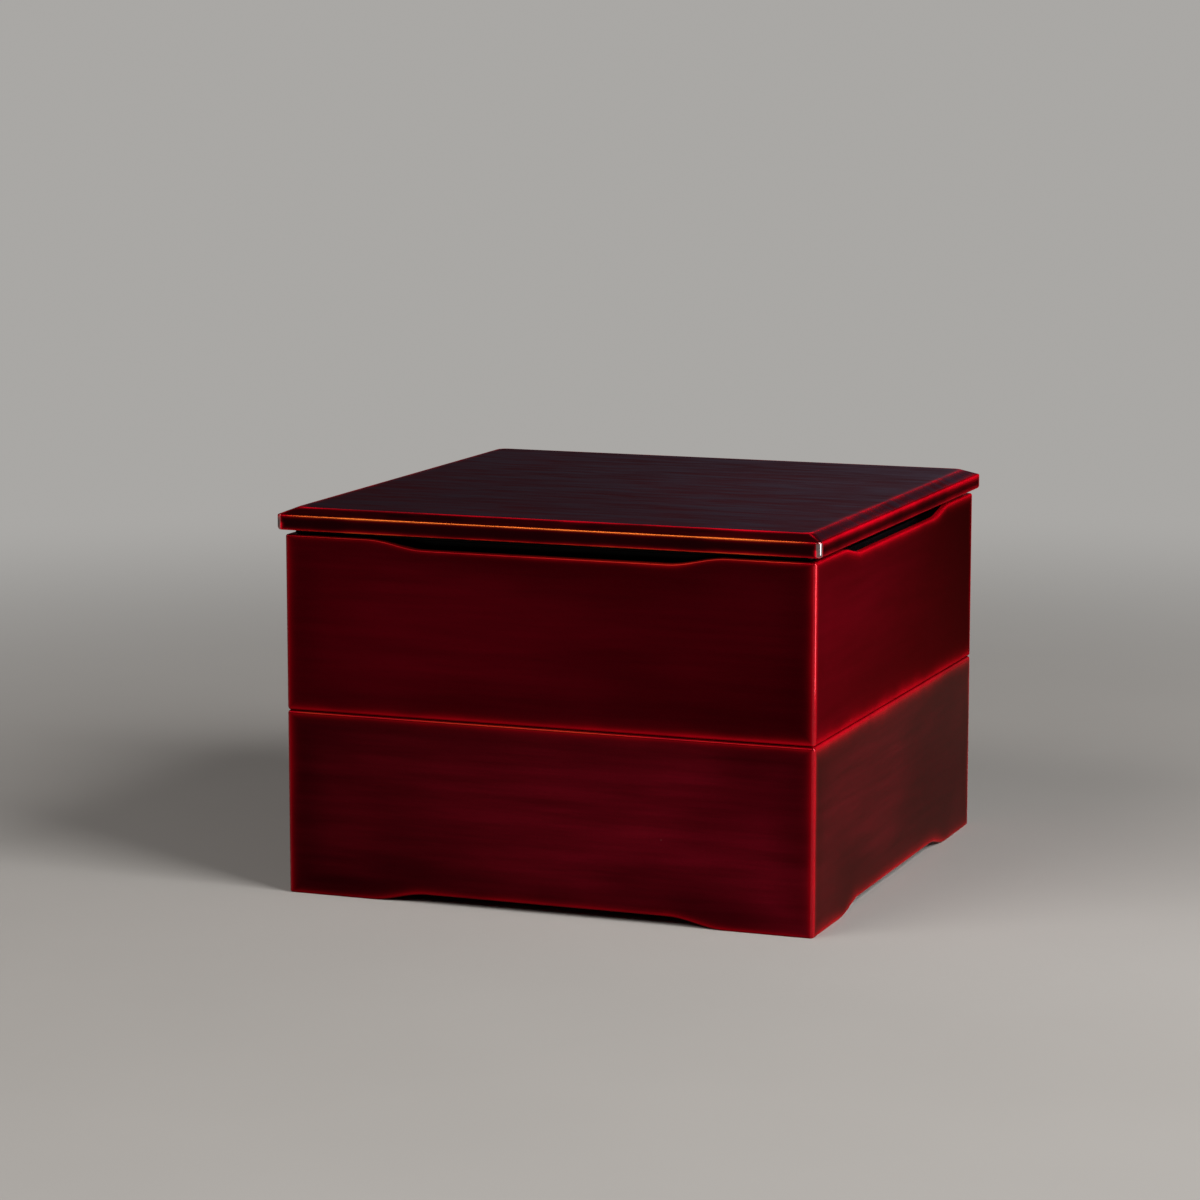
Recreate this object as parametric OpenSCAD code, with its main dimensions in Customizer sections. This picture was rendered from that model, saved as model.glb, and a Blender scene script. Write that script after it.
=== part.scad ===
// Two-tier square stacking food box in translucent red lacquer, millimetres, Z up.
// The origin is on the floor, under the middle of the box. The front faces -Y.
// Each tier is four mitred boards, splined at the corners, round a grooved base board.

/* [Body] */
// Outside width of each square tier
body_w = 195; // [150:1:260]
// Height of one tier, without the foot of the lower one
tier_h = 62.5; // [48:0.5:90]
// Thickness of the side boards
wall_t = 7; // [6:0.5:10]
// Rounding of the edges where the two tiers meet
join_r = 1.2; // [0.6:0.1:1.8]
// Rounding of the upper rim
rim_r = 0.8; // [0.4:0.1:1.6]
// Rounding of the bottom edge of the lower tier
foot_r = 0.7; // [0.4:0.1:1.6]
// Rounding of the upright corners
corner_r = 1.2; // [0.6:0.1:3]

/* [Scallops] */
// Height of the foot scallop, which the lower tier has as extra height
foot_rise = 3.3; // [1:0.1:6]
// Width of the level middle of the foot scallop
foot_level_w = 89; // [60:1:100]
// Length of each S-curve of the foot scallop
foot_sweep = 22; // [12:0.5:26]
// Depth of the finger dip in the upper rim
rim_dip = 3; // [1:0.1:4]
// Width of the level middle of the finger dip
rim_level_w = 89; // [60:1:100]
// Length of each S-curve of the finger dip
rim_sweep = 22; // [12:0.5:26]

/* [Lid] */
// How far the lid stands out past the tiers
lid_overhang = 2.3; // [1:0.1:4]
// Space between the upper rim and the lid
lid_gap = 1.7; // [1:0.1:4]
// Height of the lid's upright edge
lid_edge_h = 5.4; // [4:0.1:8]
// Height of the bevel round the lid's top
bevel_h = 2.3; // [1:0.1:4]
// Width of the bevel round the lid's top
bevel_w = 5.4; // [3:0.1:10]
// Rounding under the lid's edge
lid_under_r = 1.2; // [0.5:0.1:2]
// Rounding of the arris above the lid's upright edge
lid_arris_r = 0.5; // [0.3:0.1:1.2]
// Rounding of the lid's upright corners
lid_corner_r = 1.9; // [1:0.1:3]

/* [Lid battens] */
// How far the battens' shoulders stay back from the face of the tier
shoulder_back = 2.6; // [2:0.1:4]
// How far the battens reach below the bottom of the finger dips
batten_reach = 2; // [1:0.1:4]
// Width of the battens inside the mouth
batten_w = 10; // [6:0.5:14]

/* [Bases] */
// Thickness of the base boards
base_t = 5; // [4:0.5:7]
// Height of the base groove above the tier's own bottom edge
base_lift = 2.2; // [1.5:0.1:4]
// Depth of the base groove in the side boards
groove_d = 3.5; // [2:0.1:4]
// Play between the base board and the floor of its groove
base_play = 0.3; // [0.1:0.1:0.6]
// Width of the locating strips under the upper base
strip_w = 8; // [5:0.5:12]
// How deep the locating strips drop into the lower tier
strip_drop = 3.5; // [2:0.1:6]
// Sideways play of the lid and the upper tier in the mouth below
mouth_play = 0.4; // [0.3:0.05:1]

/* [Corner splines] */
// Thickness of the corner splines
spline_t = 1.6; // [1:0.1:2]
// Width of the corner splines, across the mitre
spline_w = 4; // [3:0.1:4.5]
// Depth of the splines' centre line below the corner's outer faces
spline_in = 3.8; // [3.6:0.1:4]
// Wood left above the base groove and below the rim at each spline
spline_stop = 3; // [2:0.5:5]

/* [Hidden] */
lower_h = tier_h + foot_rise;
rim_z = lower_h + tier_h;
lid_z = rim_z + lid_gap;
lid_w = body_w + 2 * lid_overhang;
lid_h = lid_edge_h + bevel_h;
mouth_w = body_w - 2 * wall_t;
lower_base_z = foot_rise + base_lift;
upper_base_z = lower_h + base_lift;
base_w = mouth_w + 2 * (groove_d - base_play);
plug_w = mouth_w - 2 * mouth_play;
plug_depth = rim_dip + batten_reach;
// Half a tier's width, which is how far its outer faces are from the middle
half_w = body_w / 2;
// Shoulders of the lid battens: outer width of their frame, and width of one shoulder
shoulder_frame_w = body_w - 2 * shoulder_back;
shoulder_w = wall_t - shoulder_back + mouth_play + batten_w;
// Rounding between the lid's bevel and its flat top
lid_crest_r = 2 * lid_arris_r;
// Cuts reach this far past what they cut
past = 1;
// Steps in a rounding of the lid's outline, in a rounding of a board, and in an S-curve
lid_steps = 6;
board_steps = 4;
sweep_steps = 10;

SIDES = ["front", "right", "back", "left"];
CORNERS = ["front_right", "back_right", "back_left", "front_left"];

red_lacquer = [0.36, 0.01, 0.03];
black_lacquer = [0.06, 0.04, 0.04];
bare_wood = [0.72, 0.56, 0.38];

// Points of an arc, both ends included
function arc(centre, r, from, to, steps) =
    [for (i = [0:steps])
        let (a = from + (to - from) * i / steps)
        centre + r * [cos(a), sin(a)]];

// Points of a convex outline, given anticlockwise, with each corner rounded by its own radius
function rounded(points, radii, steps) =
    [for (i = [0:len(points) - 1])
        let (
            n = len(points),
            here = points[i],
            before = points[(i + n - 1) % n],
            after = points[(i + 1) % n],
            a_in = atan2(here.y - before.y, here.x - before.x),
            a_out = atan2(after.y - here.y, after.x - here.x),
            turn = (a_out - a_in + 360) % 360,
            setback = radii[i] * tan(turn / 2),
            start = here - setback * [cos(a_in), sin(a_in)],
            centre = start + radii[i] * [-sin(a_in), cos(a_in)]
        )
        each arc(centre, radii[i], a_in - 90, a_in - 90 + turn, steps)];

// A scallop is [rise, level width, length of each S-curve], and a plain edge is []
// How far a scalloped edge is set back at x, which is 0 by the corners
function set_back(x, scallop) =
    len(scallop) == 0
        ? 0
        : let (
            high_x = scallop[1] / 2 + scallop[2],
            share = min(1, max(0, (high_x - abs(x)) / scallop[2]))
        )
        scallop[0] * (1 - cos(180 * share)) / 2;

// Places along a board where its section changes, from left to right
function stations(scallop) =
    let (
        right = [for (i = [0:sweep_steps]) scallop[1] / 2 + scallop[2] * i / sweep_steps],
        n = len(right)
    )
    concat([-half_w], [for (i = [n - 1:-1:0]) -right[i]], right, [half_w]);

// Plan of one mitred board of a square frame, with its outer face towards -Y
module mitred_plan(frame_w, board_w, r) {
    half = frame_w / 2;
    intersection() {
        polygon([[-half, -half], [half, -half], [half - board_w, board_w - half],
            [board_w - half, board_w - half]]);
        square_plan(frame_w, r);
    }
}

// Square with rounded corners
module square_plan(w, r) {
    square([w - 2 * r, w], center = true);
    square([w, w - 2 * r], center = true);
    for (x = [-1, 1], y = [-1, 1])
        translate([x, y] * (w / 2 - r))
            circle(r, $fn = 48);
}

// Front board of height h, with its ends still square and all four long edges rounded
module side_board(h, top, bottom, top_r, bottom_r) {
    xs = stations(len(top) > 0 ? top : bottom);
    rings = [for (x = xs)
        let (z0 = set_back(x, bottom), z1 = h - set_back(x, top), y1 = wall_t - half_w)
        [for (p = rounded([[-half_w, z0], [y1, z0], [y1, z1], [-half_w, z1]],
            [bottom_r, bottom_r, top_r, top_r], board_steps)) [x, p.x, p.y]]];
    n = len(rings[0]);
    last = n * (len(xs) - 1);
    sides = [for (i = [0:len(xs) - 2], j = [0:n - 1])
        let (a = i * n + j, b = i * n + (j + 1) % n)
        each [[a, b + n, b], [a, a + n, b + n]]];
    polyhedron(
        [for (ring = rings) each ring],
        concat([[for (j = [0:n - 1]) j]], sides, [[for (j = [n - 1:-1:0]) last + j]])
    );
}

// Front wall of a tier: its board upright and mitred, with the base groove and the spline slots
module wall(bottom_z, h, top, bottom, top_r, bottom_r, base_z) {
    difference() {
        intersection() {
            translate([0, 0, bottom_z])
                side_board(h, top, bottom, top_r, bottom_r);
            translate([0, 0, bottom_z - past])
                linear_extrude(h + 2 * past)
                    mitred_plan(body_w, wall_t, corner_r);
        }
        translate([-half_w, wall_t - groove_d - half_w, base_z])
            cube([body_w, groove_d + past, base_t]);
        for (corner = [0, 3])
            spline(corner, bottom_z + h, base_z);
    }
}

// Spline in a corner of a tier: 0 is front right, and the others follow anticlockwise
module spline(corner, top_z, base_z) {
    z0 = base_z + base_t + spline_stop;
    rotate([0, 0, 90 * corner])
        translate([half_w - spline_in, spline_in - half_w, z0])
            rotate([0, 0, 45])
                translate([-spline_w / 2, -spline_t / 2, 0])
                    cube([spline_w, spline_t, top_z - join_r - spline_stop - z0]);
}

// Base board, let into the grooves of its tier
module base_board(base_z) {
    translate([-base_w / 2, -base_w / 2, base_z])
        cube([base_w, base_w, base_t]);
}

// Turns a front piece to side number i: front, right, back, left
module on_side(i) {
    rotate([0, 0, 90 * i])
        children();
}

module lid_panel() {
    half = lid_w / 2;
    top_half = half - bevel_w;
    profile = rounded(
        [[-half, 0], [half, 0], [half, lid_edge_h], [top_half, lid_h], [-top_half, lid_h],
            [-half, lid_edge_h]],
        [lid_under_r, lid_under_r, lid_arris_r, lid_crest_r, lid_crest_r, lid_arris_r],
        lid_steps
    );
    color(red_lacquer)
        translate([0, 0, lid_z])
            intersection() {
                rotate([90, 0, 0])
                    linear_extrude(lid_w, center = true)
                        polygon(profile);
                rotate([90, 0, 90])
                    linear_extrude(lid_w, center = true)
                        polygon(profile);
                linear_extrude(lid_h)
                    square_plan(lid_w, lid_corner_r);
            }
}

// Rebated batten under the lid: its shoulder rests on the rim and its tongue fills the mouth
module lid_batten(i) {
    color(black_lacquer)
        on_side(i) {
            translate([0, 0, rim_z])
                linear_extrude(lid_gap)
                    mitred_plan(shoulder_frame_w, shoulder_w, corner_r);
            translate([0, 0, rim_z - plug_depth])
                linear_extrude(plug_depth)
                    mitred_plan(plug_w, batten_w, corner_r);
        }
}

module upper_wall(i) {
    color(red_lacquer)
        on_side(i)
            wall(lower_h, tier_h, [rim_dip, rim_level_w, rim_sweep], [], rim_r, join_r, upper_base_z);
}

module upper_spline(corner) {
    color(bare_wood)
        spline(corner, rim_z, upper_base_z);
}

module upper_base() {
    color(black_lacquer)
        base_board(upper_base_z);
}

// Locating strip under the upper base, which drops into the mouth of the lower tier
module upper_strip(i) {
    color(black_lacquer)
        on_side(i)
            translate([0, 0, lower_h - strip_drop])
                linear_extrude(base_lift + strip_drop)
                    mitred_plan(plug_w, strip_w, corner_r);
}

module lower_wall(i) {
    color(red_lacquer)
        on_side(i)
            wall(0, lower_h, [], [foot_rise, foot_level_w, foot_sweep], join_r, foot_r, lower_base_z);
}

module lower_spline(corner) {
    color(bare_wood)
        spline(corner, lower_h, lower_base_z);
}

module lower_base() {
    color(black_lacquer)
        base_board(lower_base_z);
}

lid_panel();
upper_base();
lower_base();
for (i = [0:3]) {
    lid_batten(i);
    upper_wall(i);
    upper_spline(i);
    upper_strip(i);
    lower_wall(i);
    lower_spline(i);
}
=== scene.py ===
"""Dresses a two-tier square stacking food box in translucent red lacquer.

Lengths are in metres unless a name ends in _MM. The box stands on Z = 0 with its front to -Y.
"""

import math

import bpy
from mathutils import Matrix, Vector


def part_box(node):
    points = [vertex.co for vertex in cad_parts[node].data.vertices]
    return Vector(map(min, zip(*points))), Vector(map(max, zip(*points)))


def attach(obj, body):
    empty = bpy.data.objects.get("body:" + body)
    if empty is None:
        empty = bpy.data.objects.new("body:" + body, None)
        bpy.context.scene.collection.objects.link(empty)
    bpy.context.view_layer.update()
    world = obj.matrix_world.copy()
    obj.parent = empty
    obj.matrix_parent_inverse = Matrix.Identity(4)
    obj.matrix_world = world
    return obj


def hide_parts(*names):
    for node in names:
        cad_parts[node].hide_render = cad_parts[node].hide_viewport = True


MM = 0.001

# Camera, as fitted to the corners of the box in the photograph, in tier widths and radians
CAMERA_PLACE = (2.4618, -6.6927, 1.6142)
CAMERA_TURN = 0.3636
CAMERA_TILT = 0.156
CAMERA_LENS_MM = 115.43
CAMERA_SENSOR_MM = 36

# Shapes that the frame's boxes don't give, the same as in the part
RIM_R = 0.8 * MM
JOIN_R = 1.2 * MM
FOOT_R = 0.7 * MM
CORNER_R = 1.2 * MM
FOOT = {"rise": 3.3 * MM, "level": 89 * MM, "sweep": 22 * MM}
DIP = {"rise": 3 * MM, "level": 89 * MM, "sweep": 22 * MM}
LID_CORNER_R = 1.9 * MM
LID_UNDER_R = 1.2 * MM
LID_ARRIS_R = 0.5 * MM
LID_CREST_R = 1.0 * MM
# The coat is this much thicker under the lid's edge, and on its crest, than on its arris
UNDER_COAT = 0.2 * MM
CREST_COAT = 0.0
# Plan radius that the crest of the bevel turns its corners with
LID_HIP_R = 3.4 * MM
LID_EDGE_H = 5.4 * MM
BEVEL_W = 5.4 * MM

# Inside of the tiers: corner and floor fillets, and how far the lining stands off the boards
INSIDE_CORNER_R = 2.2 * MM
FLOOR_FILLET_R = 2.4 * MM
LINING = 0.12 * MM
LINING_BACK = 0.6 * MM
# How far below the rounding of the rim the black lining begins
LINING_START = 0.7 * MM
# Rounding of battens and strips
SMALL_R = 0.7 * MM

# Steps round a quarter turn of an upright corner, and of an edge
CORNER_STEPS = 10
EDGE_STEPS = 8
SWEEP_STEPS = 14
# Stations near a corner follow its own radius from here on, past the scallops
STRAIGHT_END = 72 * MM
# Rows of a face lie this far from the rounding of the edge next to it
ROW_OFFSETS_MM = (0.3, 1, 2.5, 6, 12)
# Along the front and back edges the thin line carries a painted orange highlight: a warm lamp's reflection.
# On the right and left sides it has no orange but is wider, most at the lid's arris: painted light of a lit
# side.
SIDE_WARM_HIGHLIGHT = 0.0
SIDE_REACH = 0.5
WIDEST_SIDE_REACH = 0.22
# Painted light and shade on each side: how bright its face and the thin line along its edges are drawn
# at its left and right end as seen from outside, for front, right, back and left, as the lamps light them.
EVEN = ((1, 1), (1, 1), (1, 1), (1, 1))
LOWER_PAINTED_LIGHT = {"face": ((0.6, 1.75), (1.1, 0.9), (1.2, 0.8), (0.9, 1.2)),
               "line": ((0.6, 0.85), (1.4, 1.2), (0.9, 0.8), (0.9, 0.7))}
UPPER_PAINTED_LIGHT = {"face": ((1.45, 1.0), (2.4, 0.05), (0.8, 1.2), (1.3, 0.7)),
               "line": ((0.52, 0.85), (1.3, 1.2), (0.9, 0.8), (0.9, 0.7))}
LID_PAINTED_LIGHT = {"face": EVEN, "line": ((1.15, 1.5), (1.6, 1.6), (1.2, 1.1), (1.4, 1.4))}
# How much brighter the thin line of the lid is painted on each of its edges, front and back, and sides: painted
# light
UNDER_SHINE = (3.3, 1.5)
ARRIS_SHINE = (0.65, 1.42)
CREST_SHINE = (1.9, 0.8)
# The same painted light for the line along the rim and the red lacquer that laps from it onto the flat top
LAP_SHINE = (0.8, 1.35)
# Distance that stands for no corner nearby
FAR = 50 * MM


def smooth_step(share):
    """Rises from 0 to 1 with a level start and end."""
    share = min(1.0, max(0.0, share))
    return (1 - math.cos(math.pi * share)) / 2


def set_back(scallop, u):
    """How far a scalloped edge is set back at u, measured from the middle of a side."""
    if scallop is None:
        return 0.0
    high = scallop["level"] / 2 + scallop["sweep"]
    return scallop["rise"] * smooth_step((high - abs(u)) / scallop["sweep"])


def quarter(steps, from_turn, to_turn):
    """Angles in radians along a rounding, both ends included."""
    return [math.radians(from_turn + (to_turn - from_turn) * i / steps) for i in range(steps + 1)]


def side_stations(scallop):
    """Places along one side: ("u", x) in the middle, ("t", sign, share) near the corners, and
    ("a", angle) round the corner at its end."""
    near = [("t", 1, share) for share in (0.3, 0.6, 0.85, 0.96, 1.0)]
    us = [0.0]
    if scallop is not None:
        low = scallop["level"] / 2
        us += [low * 0.5, low * 0.9]
        us += [low + scallop["sweep"] * i / SWEEP_STEPS for i in range(SWEEP_STEPS + 1)]
    else:
        us += [STRAIGHT_END * share for share in (0.3, 0.6, 0.85)]
    us.append(STRAIGHT_END)
    middle = [("u", -u) for u in reversed(us[1:])] + [("u", u) for u in us]
    arc = [("a", angle) for angle in quarter(CORNER_STEPS, 0, 90)[1:-1]]
    return [("t", -1, n[2]) for n in reversed(near)] + middle + near + arc


def plan_point(station, half, r):
    """Place on the front side of a rounded square, and how far it lies along the outline from the
    corner rounding ("round"), its nearer end ("ends") and its middle ("hip")."""
    end = half - r
    if station[0] == "a":
        angle = station[1]
        to_middle = r * abs(angle - math.pi / 4)
        ways = {"round": 0.0, "ends": r * math.pi / 4 - to_middle, "hip": to_middle, "none": FAR}
        return end + r * math.sin(angle), -end - r * math.cos(angle), ways
    if station[0] == "u":
        u = math.copysign(min(abs(station[1]), end), station[1])
    else:
        u = station[1] * (STRAIGHT_END + station[2] * (end - STRAIGHT_END) if end > STRAIGHT_END else end)
    left = end - abs(u)
    return u, -half, {"round": left, "ends": left, "hip": left + r * math.pi / 4, "none": FAR}


def tone_at(pairs, side, station, u, half):
    """Tone on a side at u, or between that of one side and the next round the corner."""
    low, high = pairs[side]
    if station[0] == "a":
        share = station[1] / (math.pi / 2)
        return high + (pairs[(side + 1) % 4][0] - high) * share
    return low + (high - low) * (u + half) / (2 * half)


def square_turned(name, section, scallop=None, loop=False, tones=None):
    """Mesh turned round the Z axis on a square plan with rounded corners.

    Each point of section has half (half width), r (corner radius), z (a function of u), edge
    (distance to the nearest rounded edge), warm_highlight (how much painted orange highlight the thin
    line carries there), lit_side_spread (how much wider, as painted light, its line is on the right and
    left sides), shine (how bright the line is painted on front and back, and on the sides), corner
    (where the coat also runs thin: "round" all over the corners, "ends" only where they begin and end,
    "hip" along their middle, or "none") and coat (the material from there on). A loop section makes a
    frame; otherwise the first and last rings are closed by a face. tones has the painted light and
    shade of its sides, in pairs, for "face" and "line".
    """
    stations = side_stations(scallop)
    count = 4 * len(stations)
    verts = []
    coats_of = {key: [] for key in ("edge_mm", "corner_mm", "warm_highlight", "clear", "face_tone", "line_tone")}
    tones = tones or {"face": EVEN, "line": EVEN}
    for point in section:
        for side in range(4):
            turn = math.radians(90 * side)
            for station in stations:
                x, y, to_corner = plan_point(station, point["half"], point["r"])
                verts.append((
                    x * math.cos(turn) - y * math.sin(turn),
                    x * math.sin(turn) + y * math.cos(turn),
                    point["z"](x if station[0] != "a" else STRAIGHT_END),
                ))
                front_or_back = side % 2 == 0
                # Painted light: a wider line on the right and left sides, and an orange highlight only on front
                # and back
                side_reach = SIDE_REACH + (WIDEST_SIDE_REACH - SIDE_REACH) * point["lit_side_spread"]
                upright = point["corner"] in ("round", "ends")
                coats_of["edge_mm"].append(point["edge"] / MM * (1.0 if front_or_back else side_reach))
                coats_of["corner_mm"].append(to_corner[point["corner"]] / MM)
                coats_of["warm_highlight"].append(point["warm_highlight"] * (1.0 if front_or_back else SIDE_WARM_HIGHLIGHT))
                coats_of["clear"].append(1.0 if upright and station[0] == "a" else 0.0)
                shines = {"face": (1.0, 1.0), "line": point["shine"]}
                for key, shine in shines.items():
                    tone = tone_at(tones[key], side, station, x, point["half"])
                    coats_of[key + "_tone"].append(tone * shine[side % 2])
    faces = []
    coats = []
    rings = len(section)
    for ring in range(rings if loop else rings - 1):
        a = ring * count
        b = (ring + 1) % rings * count
        for i in range(count):
            j = (i + 1) % count
            faces.append((a + i, a + j, b + j, b + i))
            coats.append(section[ring]["coat"])
    if not loop:
        faces.append(tuple(reversed(range(count))))
        faces.append(tuple(range((rings - 1) * count, rings * count)))
        coats += [section[0]["coat"], section[-1]["coat"]]
    mesh = bpy.data.meshes.new(name)
    mesh.from_pydata(verts, [], faces)
    mesh.shade_smooth()
    mesh.polygons.foreach_set("material_index", coats)
    for key, values in coats_of.items():
        mesh.attributes.new(key, "FLOAT", "POINT").data.foreach_set("value", values)
    mesh.validate()
    obj = bpy.data.objects.new(name, mesh)
    bpy.context.scene.collection.objects.link(obj)
    normals = obj.modifiers.new("face normals", "WEIGHTED_NORMAL")
    normals.mode = "FACE_AREA"
    normals.weight = 100
    normals.keep_sharp = True
    return obj


def level(z):
    """Height that is the same all round."""
    return lambda u: z


def point(half, r, z, edge=0.0, corner="none", warm_highlight=0.0, coat=0, lit_side_spread=0.0, shine=(1.0, 1.0)):
    return {"half": half, "r": max(r, 0.05 * MM), "z": z if callable(z) else level(z), "edge": edge,
            "corner": corner, "warm_highlight": warm_highlight, "coat": coat, "lit_side_spread": lit_side_spread, "shine": shine}


def tier_shell(name, half, wall, bottom, top, tones):
    """Boards of one tier under one coat of lacquer, with all four edges rounded.

    bottom and top each have z, r (rounding), scallop, coat (how thick the coat is on the edge),
    steep (how fast it thickens up the face), groove_shade (how fast the coat is drawn thicker and darker
    from halfway round the edge to the flat: painted shade of the groove where the tiers meet), flat (the
    material from there on, over the top and down the inside), warm_highlight (how much painted orange
    highlight the thin line carries) and shine (how bright the line is painted: painted light). top also
    has lap (how far the red runs on over the flat).
    """

    def from_top(offset):
        return lambda u: top["z"] - set_back(top["scallop"], u) - offset

    def from_bottom(offset):
        return lambda u: bottom["z"] + set_back(bottom["scallop"], u) + offset

    def middle(u):
        return (from_top(0)(u) + from_bottom(0)(u)) / 2

    def at(depth, r, z, edge=0.0, coat=0, warm_highlight=0.0, shine=(1.0, 1.0), lit_side_spread=0.0):
        """Point at a depth in the board, whose corners turn from convex to concave inside."""
        if depth <= r:
            radius = CORNER_R - depth
        else:
            radius = (INSIDE_CORNER_R + wall - depth) * min(1.0, (depth - r) / (wall - 2 * r))
        return point(half - depth, radius, z, edge, "round", warm_highlight, coat, lit_side_spread, shine)

    def face(depth, coat=0):
        """Points up a face of the board, close together near its edges."""
        offsets = [0.0] + [x * MM for x in ROW_OFFSETS_MM]
        low_r, high_r = bottom["r"], top["r"]
        rows = [at(depth, low_r, from_bottom(low_r + x), bottom["coat"] + x * bottom["steep"], coat)
                for x in offsets]
        rows.append(at(depth, low_r, middle, 2 * offsets[-1], coat))
        rows += [at(depth, high_r, from_top(high_r + x), top["coat"] + x * top["steep"], coat)
                 for x in reversed(offsets)]
        return rows

    def flat(r):
        """Depths across the flat of an edge, with their distances from its roundings."""
        inner = wall - r
        return [(r, 0.0), (r + 1 * MM, 1 * MM), (wall / 2, wall / 2 - r), (inner - 1 * MM, 1 * MM), (inner, 0.0)]

    def groove_shaded(side, a):
        """How thick the coat is drawn at a turn from the face towards the flat; at the tier joins this is
        painted shade of their groove.
        """
        return side["coat"] + side["groove_shade"] * side["r"] * max(0.0, a - math.pi / 4)

    def narrowed(side, a):
        """The painted groove shade is as dark on the right and left sides as on the front, despite their wider
        line.
        """
        return -1.8 * min(1.0, max(0.0, a / (math.pi / 4) - 1)) if side["groove_shade"] else 0.0

    turns = quarter(EDGE_STEPS, 0, 90)[1:-1]
    back_turns = list(reversed(turns))
    section = face(0.0)
    r, coat = top["r"], groove_shaded(top, math.pi / 2)
    section += [at(r - r * math.cos(a), r, from_top(r - r * math.sin(a)), groove_shaded(top, a), 0,
                   top["warm_highlight"], top["shine"], narrowed(top, a)) for a in turns]
    section.append(at(r, r, from_top(0), coat, 0, top["warm_highlight"], top["shine"], narrowed(top, math.pi / 2)))
    section += [at(x + top["lap"], r, from_top(0), coat + edge, top["flat"], shine=top["shine"])
                for x, edge in flat(r)[:2]]
    section += [at(x, r, from_top(0), coat + edge, top["flat"]) for x, edge in flat(r)[2:]]
    section += [at(wall - r + r * math.cos(a), r, from_top(r - r * math.sin(a)), coat, top["flat"])
                for a in back_turns]
    section += reversed(face(wall, top["flat"]))
    r, coat = bottom["r"], groove_shaded(bottom, math.pi / 2)
    section += [at(wall - r + r * math.cos(a), r, from_bottom(r - r * math.sin(a)), coat) for a in turns]
    section += [at(x, r, from_bottom(0), coat + edge) for x, edge in reversed(flat(r))]
    section += [at(r - r * math.cos(a), r, from_bottom(r - r * math.sin(a)), groove_shaded(bottom, a), 0,
                   bottom["warm_highlight"], bottom["shine"], narrowed(bottom, a)) for a in back_turns]
    return square_turned(name, section, bottom["scallop"] or top["scallop"], loop=True, tones=tones)


def tray(name, mouth, base_low, base_high, high, rim_r, dip):
    """Base board and the black lining that runs from it up the inside of the boards."""
    face = mouth - LINING
    back = mouth + LINING_BACK
    floor = base_high + LINING
    fillet = FLOOR_FILLET_R
    top = rim_r + LINING_START

    def rim(u):
        return high - set_back(dip, u) - top

    section = [point(share * mouth, 0.5 * MM, base_low, 20 * MM) for share in (0.1, 0.5, 0.9)]
    section += [
        point(back, INSIDE_CORNER_R, base_low),
        point(back, INSIDE_CORNER_R, rim),
        point(face, INSIDE_CORNER_R - LINING, rim),
        point(face, INSIDE_CORNER_R - LINING, lambda u: rim(u) - 6 * MM, 6 * MM),
    ]
    for a in quarter(EDGE_STEPS, 0, 90):
        inset = fillet * (1 - math.cos(a))
        section.append(point(face - inset, INSIDE_CORNER_R, floor + fillet * (1 - math.sin(a)), 10 * MM))
    section += [point(share * mouth, 0.5 * MM, floor, 20 * MM) for share in (0.9, 0.5, 0.1)]
    return square_turned(name, section, dip)


def rounded_loop(corners, r):
    """Points round a convex or concave outline of (half, z) corners, each rounded by r."""
    out = []
    n = len(corners)
    for i in range(n):
        before, here, after = corners[i - 1], corners[i], corners[(i + 1) % n]
        ways = []
        for other in (before, after):
            dx, dz = other[0] - here[0], other[1] - here[1]
            length = math.hypot(dx, dz)
            ways.append((dx / length, dz / length))
        for step in range(5):
            share = step / 4
            a, b = (1 - share) ** 2, share ** 2
            out.append((
                here[0] + r * (a * ways[0][0] + b * ways[1][0]),
                here[1] + r * (a * ways[0][1] + b * ways[1][1]),
            ))
    return out


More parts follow.
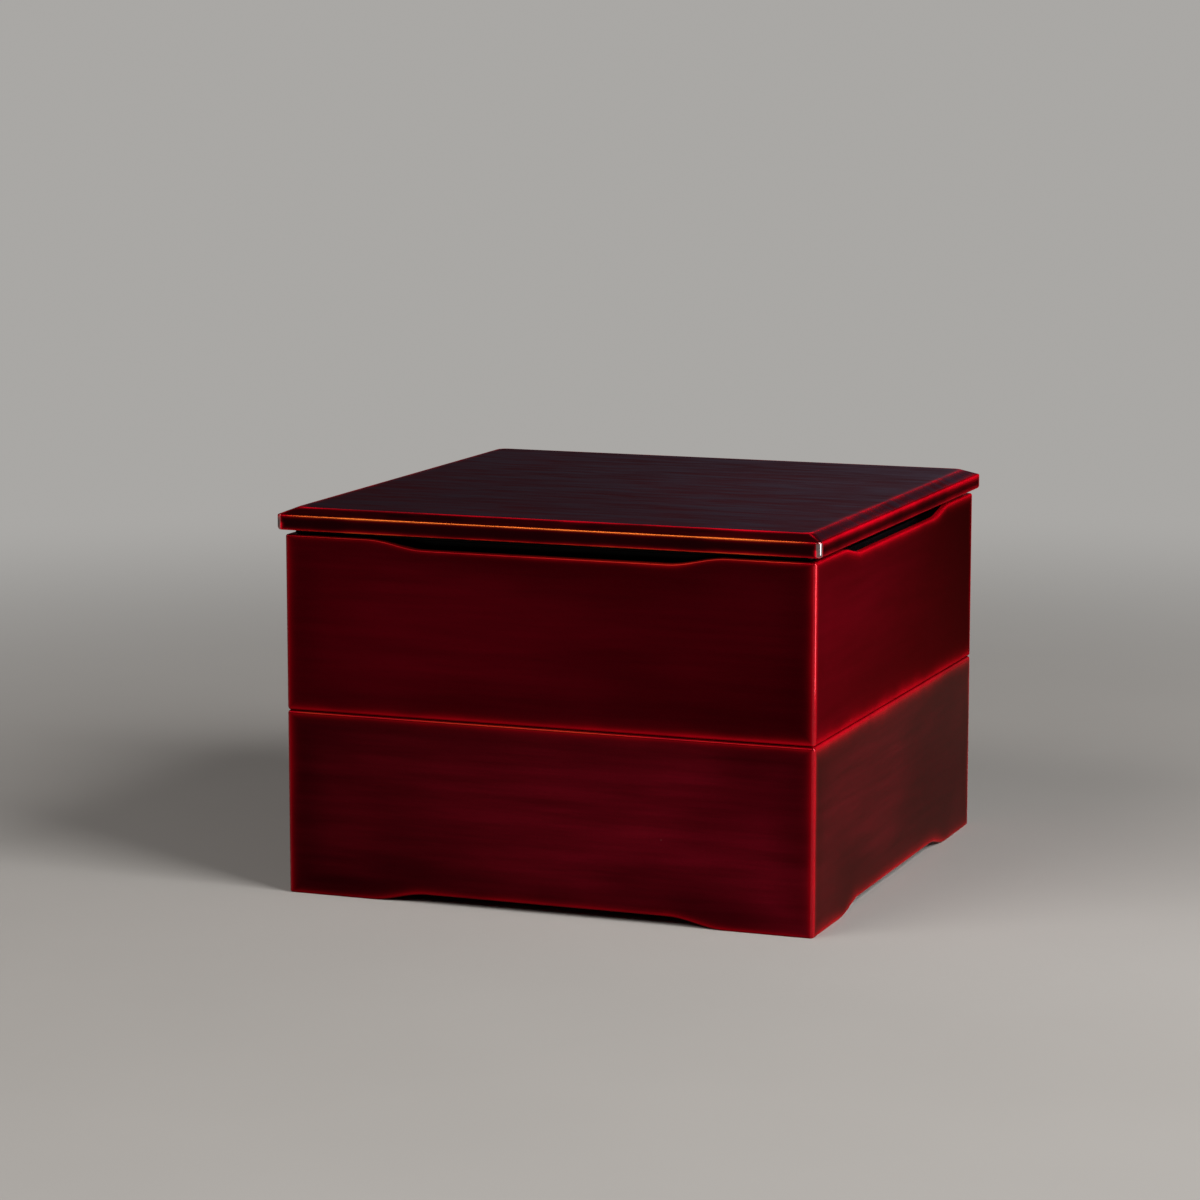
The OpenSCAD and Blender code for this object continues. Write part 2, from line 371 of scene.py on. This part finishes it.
def lid_board(name, half, low, high):
    """Lid with its bevel, arris and upright edge, closed underneath."""
    arris_z = low + LID_EDGE_H
    slope = math.degrees(math.atan2(high - arris_z, BEVEL_W))
    crest_half = half - BEVEL_W
    crest_back = LID_CREST_R * math.tan(math.radians(slope / 2))
    arris_back = LID_ARRIS_R * math.tan(math.radians((90 - slope) / 2))
    bevel_l = math.hypot(BEVEL_W, high - arris_z) - crest_back - arris_back
    edge_l = LID_EDGE_H - LID_UNDER_R - arris_back
    arris_middle = math.radians(90 - slope) / 2
    arris_l = LID_ARRIS_R * arris_middle
    section = [point(share * half, 0.5 * MM, low, 20 * MM) for share in (0.1, 0.5)]
    section.append(point(half - LID_UNDER_R - 6 * MM, 0.5 * MM, low, 6 * MM))
    # The orange highlight values (0.5 and 1.0) and the wider side line along the lid's edge are painted light
    for a in quarter(EDGE_STEPS, 0, 90):
        inset = LID_UNDER_R * (1 - math.sin(a))
        rise = LID_UNDER_R * (1 - math.cos(a))
        near = UNDER_COAT + LID_UNDER_R * max(0.0, a - math.pi / 4)
        section.append(point(half - inset, LID_CORNER_R - inset, low + rise, near, "ends", 0.5, 1,
                             0.3, UNDER_SHINE))
    for share, lit_side_spread in ((0.1, 0.3), (0.3, 0.0), (0.5, 0.0), (0.7, 0.3), (0.9, 1.0)):
        rise = LID_UNDER_R + share * edge_l
        under = UNDER_COAT + LID_UNDER_R * math.pi / 4 + share * edge_l
        near = min(under, (1 - share) * edge_l)
        shine = UNDER_SHINE if share < 0.5 else ARRIS_SHINE
        section.append(point(half, LID_CORNER_R, low + rise, near, "ends", 0.5, 1, lit_side_spread, shine))
    centre_z = arris_z - arris_back
    for a in quarter(EDGE_STEPS, 0, 90 - slope):
        inset = LID_ARRIS_R * (1 - math.cos(a))
        height = centre_z + LID_ARRIS_R * math.sin(a)
        near = LID_ARRIS_R * max(0.0, a - arris_middle)
        lit_side_spread = 1.0 if a <= arris_middle else 0.0
        section.append(point(half - inset, LID_CORNER_R - inset, height, near, "ends", 1.0, 1, lit_side_spread,
                             ARRIS_SHINE))
    up = math.radians(slope)
    for share in (0.1, 0.3, 0.5, 0.7, 0.9):
        run = arris_back + share * bevel_l
        radius = LID_CORNER_R * (1 - share) + LID_HIP_R * share
        near = min(arris_l + share * bevel_l, CREST_COAT + (1 - share) * bevel_l)
        low_part = share < 0.5
        section.append(point(half - run * math.cos(up), radius, arris_z + run * math.sin(up), near, "hip",
                             1.0 if low_part else 0.0, shine=ARRIS_SHINE if low_part else CREST_SHINE))
    crest_centre = crest_half - crest_back
    for a in quarter(4, 90 - slope, 90):
        section.append(point(crest_centre + LID_CREST_R * math.cos(a), LID_HIP_R,
                             high - LID_CREST_R * (1 - math.sin(a)), CREST_COAT, shine=CREST_SHINE))
    for inset in ROW_OFFSETS_MM:
        section.append(point(crest_centre - inset * MM, LID_HIP_R, high, CREST_COAT + inset * MM))
    section += [point(share * half, 0.5 * MM, high, (1 - share) * half) for share in (0.6, 0.3, 0.1)]
    return square_turned(name, section, tones=LID_PAINTED_LIGHT)


def lid_lining(name, low, shoulder, tongue):
    """Batten frame under the lid and the panel inside it, in one coat of black lacquer."""
    top = low + 0.1 * MM
    panel = low - LINING
    inner, outer, bottom = tongue
    shoulder_low = shoulder[1]
    corners = [
        (inner, panel), (inner, bottom), (outer, bottom), (outer, shoulder_low),
        (shoulder[0], shoulder_low), (shoulder[0], top),
    ]
    rounded = rounded_loop(corners, SMALL_R)
    # The first corner is the panel's fillet and the last lies inside the lid
    profile = rounded[:-5]
    section = [point(share * inner, 0.5 * MM, panel, 20 * MM) for share in (0.1, 0.5, 0.95)]
    section += [point(h, CORNER_R, z) for h, z in profile[4:]]
    section.append(point(shoulder[0], CORNER_R, top))
    section += [point(share * inner, 0.5 * MM, top, 20 * MM) for share in (0.9, 0.1)]
    return square_turned(name, section)


def strip_frame(name, inner, outer, low, high):
    """Frame of locating strips with its edges eased."""
    corners = [(inner, low), (inner, high), (outer, high), (outer, low)]
    section = [point(h, CORNER_R, z) for h, z in rounded_loop(corners, SMALL_R)]
    return square_turned(name, section, loop=True)


def new_node(tree, kind, inputs=None, **settings):
    """Node with its settings and its inputs, each a value or another node's socket."""
    node = tree.nodes.new(kind)
    for key, value in settings.items():
        setattr(node, key, value)
    for key, value in (inputs or {}).items():
        if isinstance(value, bpy.types.NodeSocket):
            tree.links.new(value, node.inputs[key])
        else:
            node.inputs[key].default_value = value
    return node


def math_node(tree, operation, a, b=0.0):
    return new_node(tree, "ShaderNodeMath", {0: a, 1: b}, operation=operation).outputs[0]


def mix_colour(tree, share, a, b, blend="MIX"):
    node = tree.nodes.new("ShaderNodeMix")
    node.data_type = "RGBA"
    node.blend_type = blend
    for key, value in ((0, share), (6, a), (7, b)):
        if isinstance(value, bpy.types.NodeSocket):
            tree.links.new(value, node.inputs[key])
        else:
            node.inputs[key].default_value = value
    return node.outputs[2]


def noise(tree, vector, scale, detail=3.0, stretch=(1, 1, 1), rough=0.5):
    """Noise over the object's own coordinates, drawn out along an axis by a small stretch there."""
    mapping = new_node(tree, "ShaderNodeMapping", {"Vector": vector, "Scale": stretch})
    return new_node(tree, "ShaderNodeTexNoise", {
        "Vector": mapping.outputs[0], "Scale": scale, "Detail": detail, "Roughness": rough,
    }).outputs["Fac"]


def remap(tree, value, low, high, to_low, to_high, smooth=False):
    kind = "SMOOTHSTEP" if smooth else "LINEAR"
    return new_node(tree, "ShaderNodeMapRange", {
        "Value": value, "From Min": low, "From Max": high, "To Min": to_low, "To Max": to_high,
    }, interpolation_type=kind).outputs[0]


def new_material(name):
    material = bpy.data.materials.new(name)
    material.use_nodes = True
    tree = material.node_tree
    tree.nodes.clear()
    shader = tree.nodes.new("ShaderNodeBsdfPrincipled")
    output = tree.nodes.new("ShaderNodeOutputMaterial")
    tree.links.new(shader.outputs[0], output.inputs["Surface"])
    coordinates = tree.nodes.new("ShaderNodeTexCoord").outputs["Object"]
    return material, tree, shader, coordinates


def side_coordinates(tree, coordinates):
    """(distance along the side, height) of a point on any of the four upright faces, so that
    streaks run level on all of them."""
    split = new_node(tree, "ShaderNodeSeparateXYZ", {0: coordinates})
    along = math_node(tree, "ADD", split.outputs[0], split.outputs[1])
    across = math_node(tree, "SUBTRACT", split.outputs[0], split.outputs[1])
    return new_node(tree, "ShaderNodeCombineXYZ", {
        0: along, 1: across, 2: split.outputs[2]}).outputs[0]


def red_lacquer(name, look, seed):
    """Translucent red lacquer: dark where it is thick, and bright along the thin edges.

    look gives the linear colours deep, cloud, glow and warm_highlight (the painted orange highlight),
    tint (what the coat reflects at a slant), reach (the width in mm over which the bright line along an
    edge fades), band (how dark the coat is just inside the edges), halo, streak (contrast of the brush
    marks along the sides), ripple (contrast of the waves along the lid), drift (how much brighter it is
    painted to the right: painted light), ground (how much of the light is thrown back by the burnished
    ground under the red), coat and polish (the clear top coat on the faces and on the upright corners)
    and clear_ior.
    """
    material, tree, shader, coordinates = new_material(name)
    shifted = new_node(tree, "ShaderNodeMapping", {
        "Vector": coordinates, "Location": (seed, seed, seed)}).outputs[0]
    edge = new_node(tree, "ShaderNodeAttribute", attribute_name="edge_mm").outputs["Fac"]
    corner = new_node(tree, "ShaderNodeAttribute", attribute_name="corner_mm").outputs["Fac"]
    warm_highlight = new_node(tree, "ShaderNodeAttribute", attribute_name="warm_highlight").outputs["Fac"]
    clear = new_node(tree, "ShaderNodeAttribute", attribute_name="clear").outputs["Fac"]
    # Painted light and shade of each side, on its face and on its line
    face_tone = new_node(tree, "ShaderNodeAttribute", attribute_name="face_tone").outputs["Fac"]
    line_tone = new_node(tree, "ShaderNodeAttribute", attribute_name="line_tone").outputs["Fac"]
    nearest = math_node(tree, "MINIMUM", edge, corner)
    # The coat runs thin unevenly, so the bright line wavers a little along the edge
    waver = remap(tree, noise(tree, shifted, 45, 2), 0.3, 0.7, 0.7, 1.2)
    fade = math_node(tree, "DIVIDE", nearest, math_node(tree, "MULTIPLY", waver, -look["reach"]))
    line = math_node(tree, "MULTIPLY", math_node(tree, "EXPONENT", fade), waver)
    line = math_node(tree, "MINIMUM", line, 1.0)
    halo = math_node(tree, "EXPONENT", math_node(tree, "MULTIPLY", nearest, -0.45))
    thick = remap(tree, nearest, 2.0, 18, look["band"], 1.0, smooth=True)
    cloud = noise(tree, shifted, 12, 2, (1, 1, 1.7))
    cloud = remap(tree, cloud, 0.36, 0.64, 0.0, 1.0, smooth=True)
    level_way = side_coordinates(tree, shifted)
    streaks = noise(tree, level_way, 260, 4, (0.045, 0.045, 1), 0.6)
    shade = math_node(tree, "MULTIPLY", thick, remap(
        tree, streaks, 0.3, 0.7, 1 - look["streak"], 1 + look["streak"]))
    shade = math_node(tree, "MULTIPLY", shade, face_tone)
    # Painted light: the lid drawn brighter towards the right, where it reflects the glow on that side
    across = new_node(tree, "ShaderNodeSeparateXYZ", {0: coordinates}).outputs[0]
    drift = remap(tree, across, -0.1, 0.1, 1 - look["drift"], 1 + look["drift"])
    shade = math_node(tree, "MULTIPLY", shade, drift)
    waves = noise(tree, shifted, 220, 4, (0.17, 1, 0.1), 0.62)
    face = mix_colour(tree, cloud, look["deep"], look["cloud"])
    grey = new_node(tree, "ShaderNodeCombineColor", {0: shade, 1: shade, 2: shade}).outputs[0]
    face = mix_colour(tree, 1.0, face, grey, "MULTIPLY")
    # Painted highlight: an orange line on the thinnest coat for a warm lamp's reflection, more in some stretches
    # than others
    stretch = remap(tree, noise(tree, shifted, 9, 1), 0.42, 0.6, 0.3, 1.0, smooth=True)
    stretch = math_node(tree, "MULTIPLY", stretch, remap(tree, line, 0.25, 0.8, 0.0, 1.0))
    inward = remap(tree, corner, 1.0, 8.0, 0.0, 1.0, smooth=True)
    orange = math_node(tree, "MULTIPLY", math_node(tree, "MULTIPLY", warm_highlight, stretch), inward)
    glow = mix_colour(tree, orange, look["glow"], look["warm_highlight"])
    # Painted light: the line drawn brighter or darker on each side and edge
    line_grey = new_node(tree, "ShaderNodeCombineColor", {0: line_tone, 1: line_tone, 2: line_tone}).outputs[0]
    glow = mix_colour(tree, 1.0, glow, line_grey, "MULTIPLY")
    face = mix_colour(tree, math_node(tree, "MULTIPLY", halo, look["halo"]), face, look["glow"])
    colour = mix_colour(tree, line, face, glow)
    # A few specks of dust under the last coat: raised by the bump, and painted lighter as glints on them
    cells = new_node(tree, "ShaderNodeTexVoronoi", {"Vector": shifted, "Scale": 38.0})
    speck_and_glint = remap(tree, cells.outputs["Distance"], 0.006, 0.012, 1.0, 0.0)
    colour = mix_colour(tree, math_node(tree, "MULTIPLY", speck_and_glint, 0.4), colour, (0.3, 0.1, 0.1, 1))
    tree.links.new(colour, shader.inputs["Base Color"])
    smudge = noise(tree, shifted, 30, 4)
    tree.links.new(remap(tree, smudge, 0.35, 0.75, 0.05, 0.11), shader.inputs["Roughness"])
    wavy = remap(tree, waves, 0.36, 0.64, 1 - look["ripple"], 1 + look["ripple"])
    tree.links.new(math_node(tree, "MULTIPLY", wavy, look["ground"]), shader.inputs["Metallic"])
    shader.inputs["Specular Tint"].default_value = look["tint"]
    shader.inputs["IOR"].default_value = look["ior"]
    clear_coat = remap(tree, clear, 0.0, 1.0, look["coat"], look["polish"])
    tree.links.new(clear_coat, shader.inputs["Coat Weight"])
    shader.inputs["Coat Roughness"].default_value = 0.04
    shader.inputs["Coat IOR"].default_value = look["clear_ior"]
    ripple = noise(tree, shifted, 90, 2)
    height = math_node(tree, "ADD", math_node(tree, "MULTIPLY", ripple, 0.6),
                       math_node(tree, "MULTIPLY", streaks, 0.25))
    height = math_node(tree, "ADD", height, math_node(tree, "MULTIPLY", waves, 40 * look["ripple"]))
    height = math_node(tree, "ADD", height, math_node(tree, "MULTIPLY", speck_and_glint, 4.0))
    bump = new_node(tree, "ShaderNodeBump", {"Height": height, "Strength": 0.35, "Distance": 0.00001})
    tree.links.new(bump.outputs[0], shader.inputs["Normal"])
    return material


def black_lacquer(name):
    """Black lacquer of the inside, a little softer than the red, with brushed-in unevenness."""
    material, tree, shader, coordinates = new_material(name)
    cloud = noise(tree, coordinates, 25, 4)
    share = remap(tree, cloud, 0.35, 0.7, 0.0, 1.0, smooth=True)
    colour = mix_colour(tree, share, (0.002, 0.001, 0.001, 1), (0.004, 0.002, 0.002, 1))
    tree.links.new(colour, shader.inputs["Base Color"])
    smudge = noise(tree, coordinates, 40, 3)
    tree.links.new(remap(tree, smudge, 0.3, 0.75, 0.14, 0.26), shader.inputs["Roughness"])
    shader.inputs["IOR"].default_value = 1.12
    ripple = noise(tree, coordinates, 120, 3, (1, 0.3, 1))
    bump = new_node(tree, "ShaderNodeBump", {"Height": ripple, "Strength": 0.4, "Distance": 0.00002})
    tree.links.new(bump.outputs[0], shader.inputs["Normal"])
    return material


def bare_wood(name):
    """Sawn hardwood of the splines, grain upright."""
    material, tree, shader, coordinates = new_material(name)
    grain = noise(tree, coordinates, 500, 5, (1, 1, 0.06), 0.65)
    share = remap(tree, grain, 0.3, 0.7, 0.0, 1.0)
    colour = mix_colour(tree, share, (0.42, 0.26, 0.13, 1), (0.62, 0.43, 0.25, 1))
    tree.links.new(colour, shader.inputs["Base Color"])
    tree.links.new(remap(tree, grain, 0.3, 0.7, 0.5, 0.75), shader.inputs["Roughness"])
    bump = new_node(tree, "ShaderNodeBump", {"Height": grain, "Strength": 0.4, "Distance": 0.0001})
    tree.links.new(bump.outputs[0], shader.inputs["Normal"])
    return material


def dress(obj, materials, body, slot, *nodes):
    """Gives a piece its materials and the body that it rides on, and hides the nodes that it stands for."""
    for material in materials:
        obj.data.materials.append(material)
    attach(obj, body)
    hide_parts(*nodes)


def aim(obj, place, target):
    """Puts obj at place, with its own -Z towards target."""
    obj.location = place
    way = [t - p for t, p in zip(target, place)]
    flat = math.hypot(way[0], way[1])
    obj.rotation_euler = (math.atan2(flat, -way[2]), 0, math.atan2(way[1], way[0]) - math.pi / 2)


def area_light(name, place, target, size, power, colour, spread=math.pi):
    lamp = bpy.data.lights.new(name, "AREA")
    lamp.shape = "RECTANGLE"
    lamp.size, lamp.size_y = size
    lamp.energy = power
    lamp.color = colour
    lamp.spread = spread
    obj = bpy.data.objects.new(name, lamp)
    bpy.context.scene.collection.objects.link(obj)
    obj.visible_camera = False
    aim(obj, place, target)


def studio_floor(colour, reach=40.0, sides=64):
    """Wide pale floor with a faint mottle. Far from the box the camera sees its plain colour."""
    mesh = bpy.data.meshes.new("studio_floor")
    ring = [(reach * math.cos(2 * math.pi * i / sides), reach * math.sin(2 * math.pi * i / sides), 0)
            for i in range(sides)]
    mesh.from_pydata(ring, [], [tuple(range(sides))])
    floor = bpy.data.objects.new("studio_floor", mesh)
    bpy.context.scene.collection.objects.link(floor)
    material, tree, shader, coordinates = new_material("floor_paint")
    mottle = remap(tree, noise(tree, coordinates, 9, 5), 0.3, 0.7, 0.97, 1.0)
    shade = new_node(tree, "ShaderNodeCombineColor", {0: mottle, 1: mottle, 2: mottle}).outputs[0]
    tree.links.new(mix_colour(tree, 1.0, colour, shade, "MULTIPLY"), shader.inputs["Base Color"])
    shader.inputs["Roughness"].default_value = 0.9
    shader.inputs["Specular IOR Level"].default_value = 0.1
    plain = new_node(tree, "ShaderNodeEmission", {"Color": BACKDROP}).outputs[0]
    away = new_node(tree, "ShaderNodeVectorMath", {0: coordinates}, operation="LENGTH").outputs["Value"]
    far = remap(tree, away, 0.25, 1.0, 0.0, 1.0, smooth=True)
    seen = new_node(tree, "ShaderNodeLightPath").outputs["Is Camera Ray"]
    mixed = new_node(tree, "ShaderNodeMixShader", {0: math_node(tree, "MULTIPLY", far, seen)})
    tree.links.new(shader.outputs[0], mixed.inputs[1])
    tree.links.new(plain, mixed.inputs[2])
    surface = next(n for n in tree.nodes if n.bl_idname == "ShaderNodeOutputMaterial").inputs["Surface"]
    tree.links.new(mixed.outputs[0], surface)
    mesh.materials.append(material)


def studio_world(ambient, glow, glow_azimuth):
    """Dim all round, with a soft glow low on one side that fades upwards. The camera sees the
    plain backdrop instead."""
    world = bpy.data.worlds.new("studio")
    bpy.context.scene.world = world
    world.use_nodes = True
    tree = world.node_tree
    background = tree.nodes["Background"]
    way = tree.nodes.new("ShaderNodeTexCoord").outputs["Generated"]
    height = new_node(tree, "ShaderNodeSeparateXYZ", {0: way}).outputs[2]
    turn = math.radians(glow_azimuth)
    middle = (0.98 * math.cos(turn), 0.98 * math.sin(turn), 0.2)
    towards = new_node(tree, "ShaderNodeVectorMath", {0: way, 1: middle}, operation="DOT_PRODUCT")
    lobe = math_node(tree, "POWER", math_node(tree, "MAXIMUM", towards.outputs["Value"], 0.0), 18.0)
    share = math_node(tree, "MULTIPLY", lobe, remap(tree, height, 0.08, 0.28, 1.0, 0.25))
    light = mix_colour(tree, share, ambient, glow)
    seen = new_node(tree, "ShaderNodeLightPath").outputs["Is Camera Ray"]
    tree.links.new(mix_colour(tree, seen, light, BACKDROP), background.inputs["Color"])


def studio_camera(width):
    camera = bpy.data.cameras.new("camera")
    camera.sensor_fit = "HORIZONTAL"
    camera.sensor_width = CAMERA_SENSOR_MM
    camera.lens = CAMERA_LENS_MM
    camera.clip_end = 100
    obj = bpy.data.objects.new("camera", camera)
    bpy.context.scene.collection.objects.link(obj)
    obj.location = [width * x for x in CAMERA_PLACE]
    obj.rotation_euler = (math.pi / 2 - CAMERA_TILT, 0, CAMERA_TURN)
    bpy.context.scene.camera = obj


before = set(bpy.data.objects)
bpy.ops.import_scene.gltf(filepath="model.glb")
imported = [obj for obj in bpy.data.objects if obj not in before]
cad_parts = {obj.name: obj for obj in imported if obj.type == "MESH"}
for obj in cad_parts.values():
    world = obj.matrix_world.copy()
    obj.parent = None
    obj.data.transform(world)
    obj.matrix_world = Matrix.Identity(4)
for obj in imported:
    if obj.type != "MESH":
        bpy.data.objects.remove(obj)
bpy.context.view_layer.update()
bpy.context.scene.view_settings.view_transform = "Standard"

lower_low, lower_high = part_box("lower_wall_front")
upper_low, upper_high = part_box("upper_wall_front")
half_w = -lower_low[1]
wall_t = lower_high[1] - lower_low[1]
mouth = half_w - wall_t
lid_low, lid_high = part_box("lid_panel")
SIDES = ("front", "right", "back", "left")

BACKDROP = (0.40, 0.39, 0.375, 1)
GLOW = (0.44, 0.0008, 0.008, 1)
# Orange of the painted highlight along the thinnest coat
WARM_HIGHLIGHT_ORANGE = (0.92, 0.19, 0.03, 1)
UPPER_LOOK = {
    "deep": (0.044, 0.0002, 0.002, 1), "cloud": (0.060, 0.0004, 0.003, 1), "glow": GLOW, "warm_highlight": WARM_HIGHLIGHT_ORANGE,
    "tint": (1, 0.06, 0.1, 1), "reach": 0.75, "band": 0.75, "halo": 0.06, "streak": 0.16, "ripple": 0.0,
    "drift": 0.0, "ground": 0.5, "ior": 1.02, "coat": 0.0, "polish": 0.3, "clear_ior": 1.6}
# The lower tier's paler tint lets its sides show a brownish reflection of the floor, where the upper tier's show
# only red: a painted reflection
LOWER_LOOK = dict(UPPER_LOOK, deep=(0.046, 0.0006, 0.003, 1), cloud=(0.092, 0.0018, 0.006, 1),
                  tint=(0.9, 0.6, 0.55, 1), band=0.65, halo=0.08, streak=0.26)
LID_LOOK = dict(UPPER_LOOK, deep=(0.030, 0.0008, 0.0016, 1), cloud=(0.038, 0.0010, 0.0020, 1),
                tint=(1, 0.8, 0.98, 1), reach=0.3, band=1.0, halo=0.0, streak=0.0, ripple=0.58,
                drift=0.2, polish=0.0)
LID_EDGE_LOOK = dict(LID_LOOK, deep=(0.014, 0.0006, 0.0014, 1), cloud=(0.018, 0.0008, 0.0018, 1),
                     tint=(0.5, 0.0, 0.02, 1), ripple=0.0, drift=0.0, polish=1.0, clear_ior=2.4)
upper_red = red_lacquer("red_lacquer_upper", UPPER_LOOK, 0.0)
lower_red = red_lacquer("red_lacquer_lower", LOWER_LOOK, 0.37)
lid_red = red_lacquer("red_lacquer_lid", LID_LOOK, 0.71)
lid_edge_red = red_lacquer("red_lacquer_lid_edge", LID_EDGE_LOOK, 0.71)
black = black_lacquer("black_lacquer_inside")
wood = bare_wood("bare_wood_splines")

foot_edge = {"z": lower_low[2], "r": FOOT_R, "scallop": FOOT, "coat": 0.3 * MM, "steep": 1.3,
             "groove_shade": 0, "flat": 0, "warm_highlight": 0.0, "shine": (1.0, 1.0)}
lower_join = {"z": lower_high[2], "r": JOIN_R, "scallop": None, "coat": 0.1 * MM, "steep": 1.3,
              "groove_shade": 2.5, "flat": 1, "warm_highlight": 0.12, "lap": 0.0, "shine": (0.6, 1.15)}
upper_join = {"z": upper_low[2], "r": JOIN_R, "scallop": None, "coat": 0.0, "steep": 1.0,
              "groove_shade": 3, "flat": 0, "warm_highlight": 0.0, "shine": (1.5, 0.85)}
rim_edge = {"z": upper_high[2], "r": RIM_R, "scallop": DIP, "coat": 0.1 * MM, "steep": 2.1,
            "groove_shade": 0, "flat": 1, "warm_highlight": 0.15, "lap": 1.2 * MM, "shine": LAP_SHINE}
lower_shell = tier_shell("lower_tier_boards", half_w, wall_t, foot_edge, lower_join, LOWER_PAINTED_LIGHT)
dress(lower_shell, [lower_red, black], "lower_tier", "red_lacquer", *[f"lower_wall_{s}" for s in SIDES])
upper_shell = tier_shell("upper_tier_boards", half_w, wall_t, upper_join, rim_edge, UPPER_PAINTED_LIGHT)
dress(upper_shell, [upper_red, black], "upper_tier", "red_lacquer", *[f"upper_wall_{s}" for s in SIDES])

for tier, edge in (("lower", lower_join), ("upper", rim_edge)):
    base_low, base_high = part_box(f"{tier}_base")
    inside = tray(f"{tier}_tier_inside", mouth, base_low[2], base_high[2], edge["z"], edge["r"],
                  edge["scallop"])
    dress(inside, [black], f"{tier}_tier", "black_lacquer", f"{tier}_base")

strip_low, strip_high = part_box("upper_strip_front")
strips = strip_frame("upper_locating_strips", -strip_high[1], -strip_low[1], strip_low[2], strip_high[2])
dress(strips, [black], "upper_tier", "black_lacquer", *[f"upper_strip_{s}" for s in SIDES])

batten_low, batten_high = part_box("lid_batten_front")
tongue_outer = -strip_low[1]
underside = lid_lining("lid_underside", lid_low[2], (-batten_low[1], upper_high[2]),
                       (-batten_high[1], tongue_outer, batten_low[2]))
dress(underside, [black], "lid", "black_lacquer", *[f"lid_batten_{s}" for s in SIDES])
board = lid_board("lid_board", lid_high[0], lid_low[2], lid_high[2])
dress(board, [lid_red, lid_edge_red], "lid", "red_lacquer", "lid_panel")

for node_name, node_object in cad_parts.items():
    if "spline" in node_name:
        node_object.data.materials.clear()
        node_object.data.materials.append(wood)

studio_floor((0.50, 0.485, 0.465, 1))
studio_world((0.016, 0.015, 0.016, 1), (0.52, 0.47, 0.58, 1), 80)
area_light("key", (1.25, -0.45, 1.0), (0, 0, 0.06), (0.8, 0.8), 23, (1.0, 0.98, 0.96))
area_light("fill", (-0.7, -1.2, 1.15), (0, 0, 0.06), (1.2, 0.7), 12, (1.0, 0.96, 0.92))
area_light("strip", (0.50, -0.10, 0.085), (0.05, -0.05, 0.08), (0.13, 0.15), 0.088, (0.92, 0.97, 1.0),
           math.radians(60))
studio_camera(2 * half_w)
